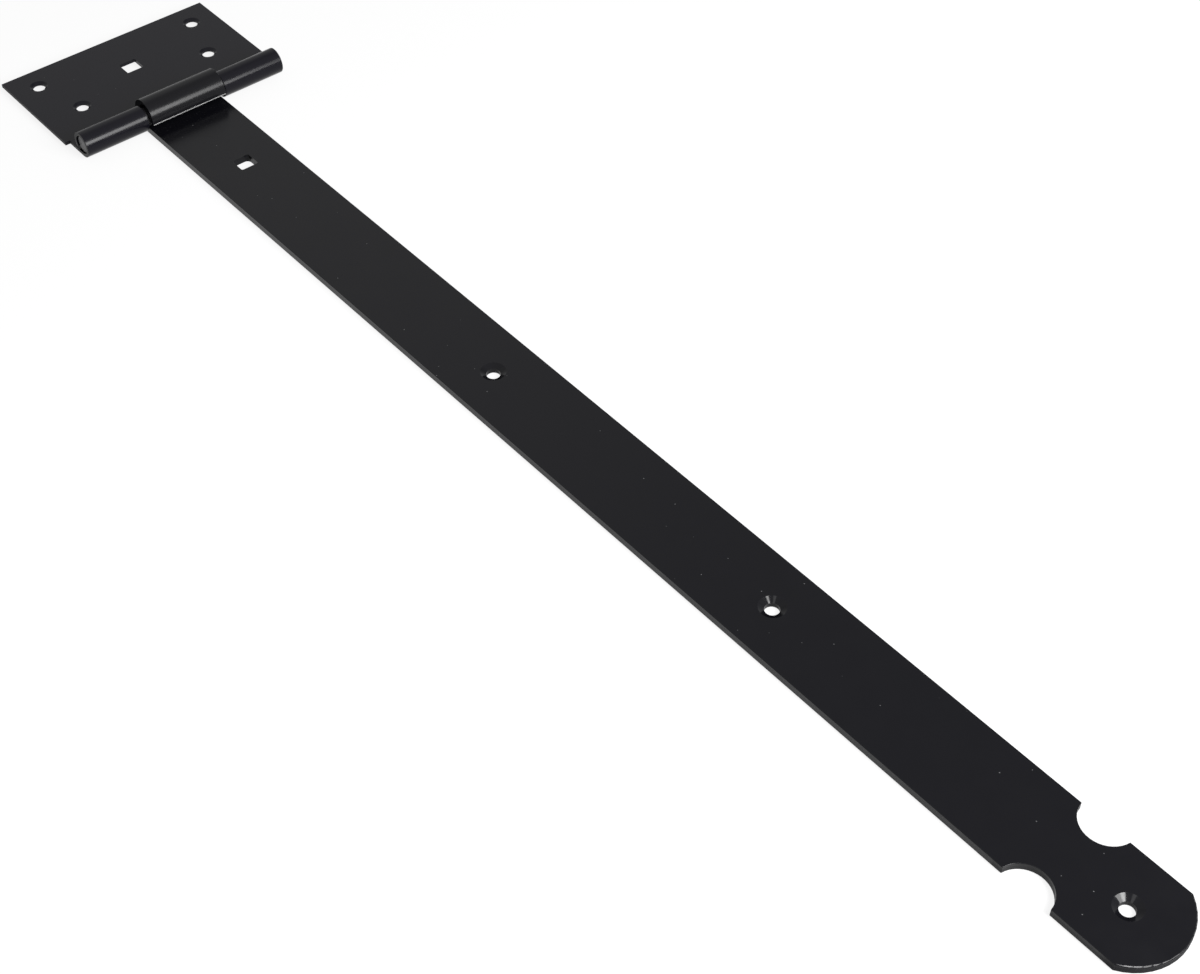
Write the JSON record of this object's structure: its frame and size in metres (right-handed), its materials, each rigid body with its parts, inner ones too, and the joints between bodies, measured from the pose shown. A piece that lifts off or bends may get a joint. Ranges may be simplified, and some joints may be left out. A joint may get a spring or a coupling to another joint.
{
  "type": "tee hinge",
  "caption": "Heavy flat tee hinge: long strap with a notched, rounded tip, a cross plate, rolled knuckles and a plain pin, made for countersunk screws and carriage bolts.",
  "frame": {"origin": "on the strap's back face, straight behind the pin and half way along it", "axes": "+X along the strap to its tip, +Y along the pin, +Z out of the front, the side the knuckles stand on"},
  "size_m": [0.6699, 0.1124, 0.0172],
  "materials": {
    "black_coat": "satin black powder coat",
    "pin_steel": "dull dark grey"
  },
  "bodies": {
    "wing": {"wing_plate": "black_coat", "pin": "pin_steel"},
    "strap": {"strap": "black_coat"}
  },
  "joints": [
    {"name": "pin_hinge", "type": "hinge", "parent": "wing", "child": "strap", "pos_m": [0, 0, 0.00808], "axis": [0, -1, 0], "range_deg": [-99, 186]}
  ]
}
